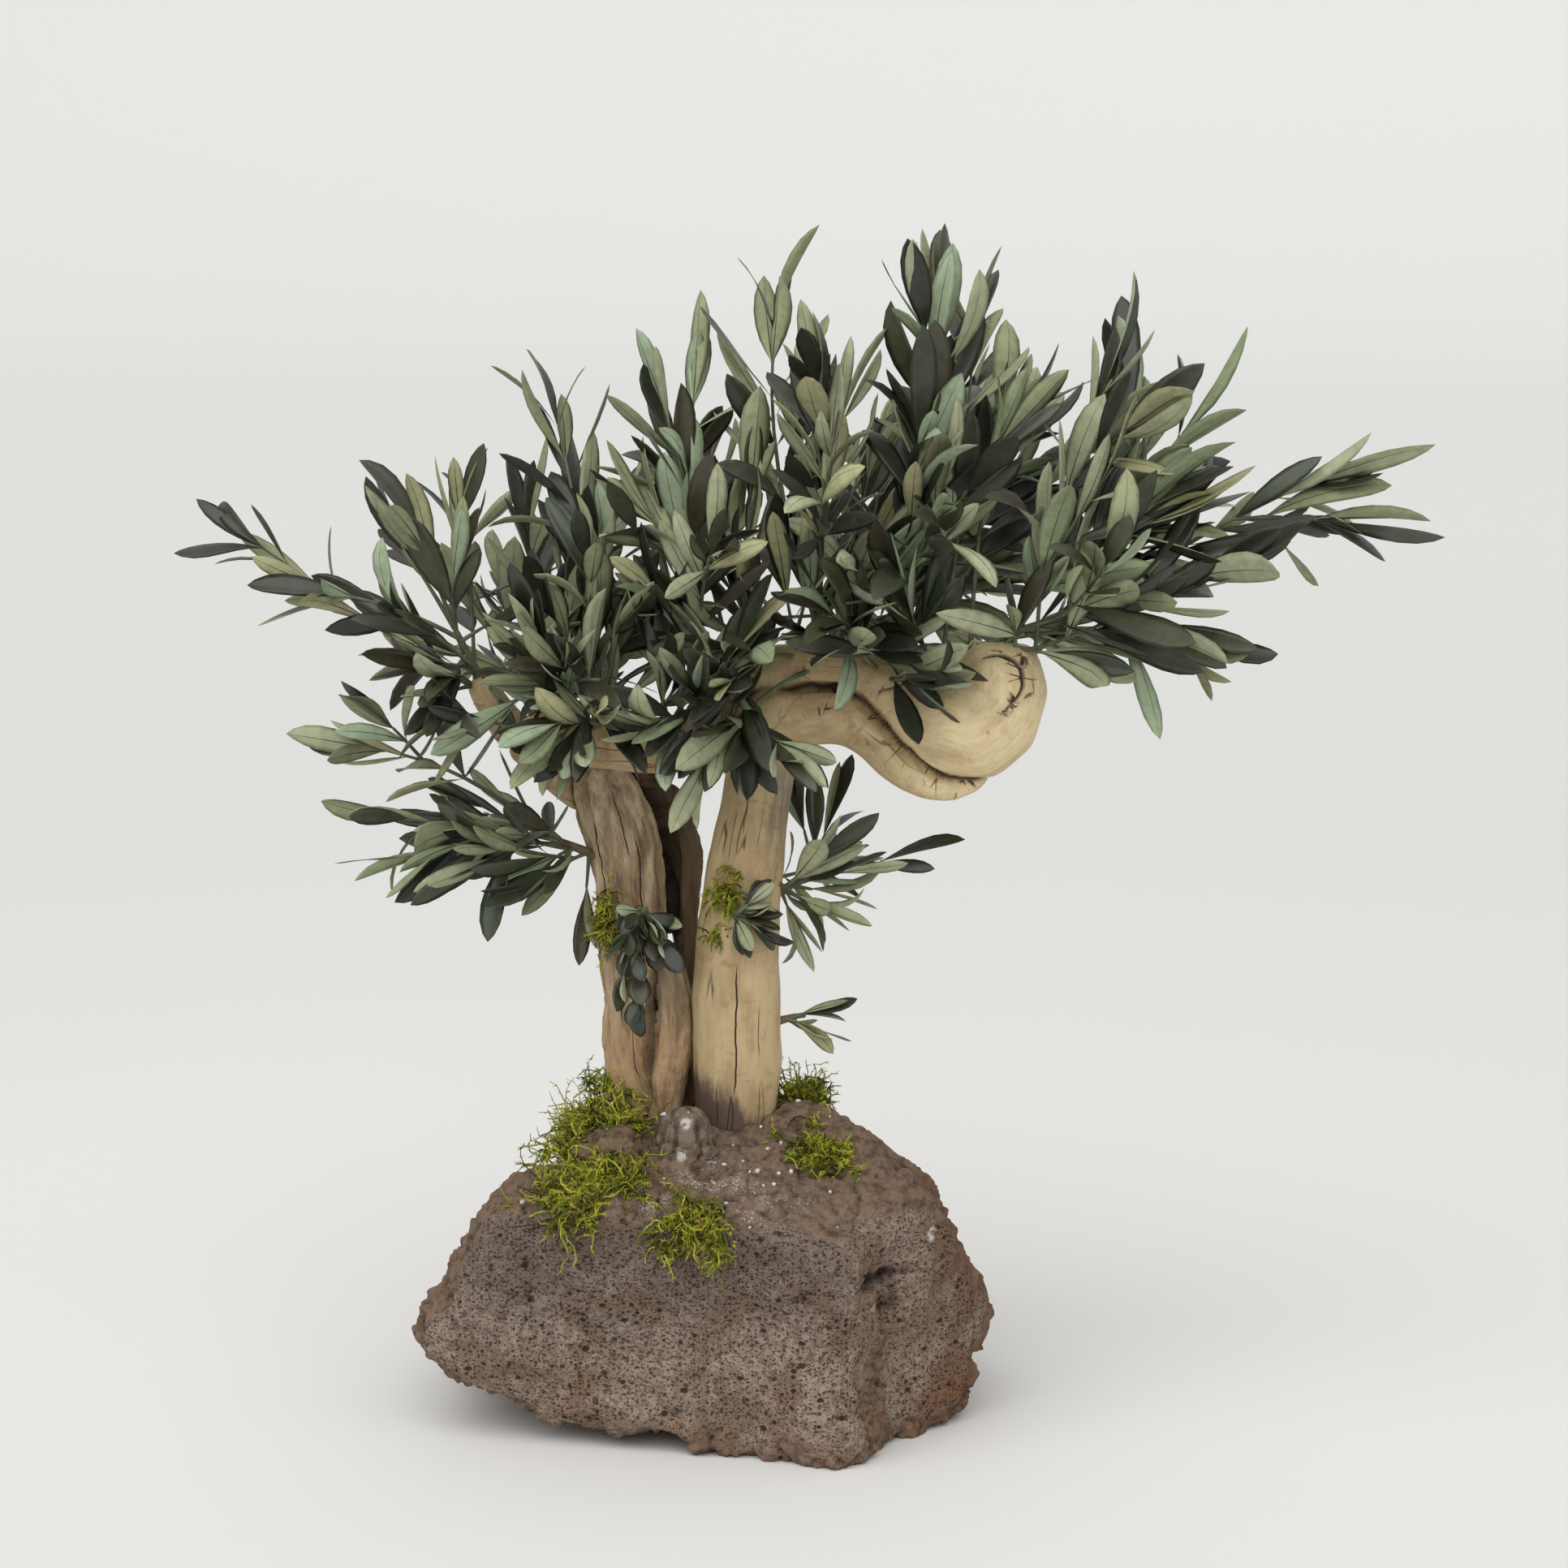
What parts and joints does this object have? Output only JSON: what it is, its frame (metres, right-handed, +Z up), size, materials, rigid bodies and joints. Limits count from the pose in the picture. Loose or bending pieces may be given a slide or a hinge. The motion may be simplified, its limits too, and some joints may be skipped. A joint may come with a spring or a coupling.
{
  "type": "olive bonsai on rock",
  "caption": "Free-standing olive bonsai: driftwood trunks with boughs and leafy sprays, set in a porous lava rock with cushions of moss.",
  "frame": {"origin": "on the rock's flat underside, below the middle of the rock", "axes": "+X to the right as seen from the front, +Y away from the viewer, +Z up"},
  "size_m": [0.754, 0.3265, 0.749],
  "materials": {
    "lava": "rough, full of fine pores",
    "rough_wood": "weathered and fissured",
    "pale_wood": "smooth bare driftwood",
    "moss": "matte, stringy",
    "olive_leaf": "matte, slightly waxy"
  },
  "bodies": {
    "root": {"rock": "lava", "rock_knob": "lava", "rock_left_knob": "lava", "trunk_left": "rough_wood", "trunk_right": "pale_wood", "bough_left": "pale_wood", "bough_cross": "pale_wood", "bough_right": "pale_wood", "moss_foot": "moss", "moss_slope": "moss", "moss_face": "moss", "moss_right": "moss", "moss_behind": "moss", "moss_trunk_left": "moss", "moss_trunk_right": "moss", "crown_right": "olive_leaf", "crown_stub": "olive_leaf", "crown_top": "olive_leaf", "crown_centre": "olive_leaf", "crown_mid": "olive_leaf", "crown_left": "olive_leaf", "crown_front": "olive_leaf", "crown_back_right": "olive_leaf", "crown_back_left": "olive_leaf", "spray_left": "olive_leaf", "spray_right": "olive_leaf", "sprout_foot": "olive_leaf", "sprout_trunk": "olive_leaf"}
  },
  "joints": []
}
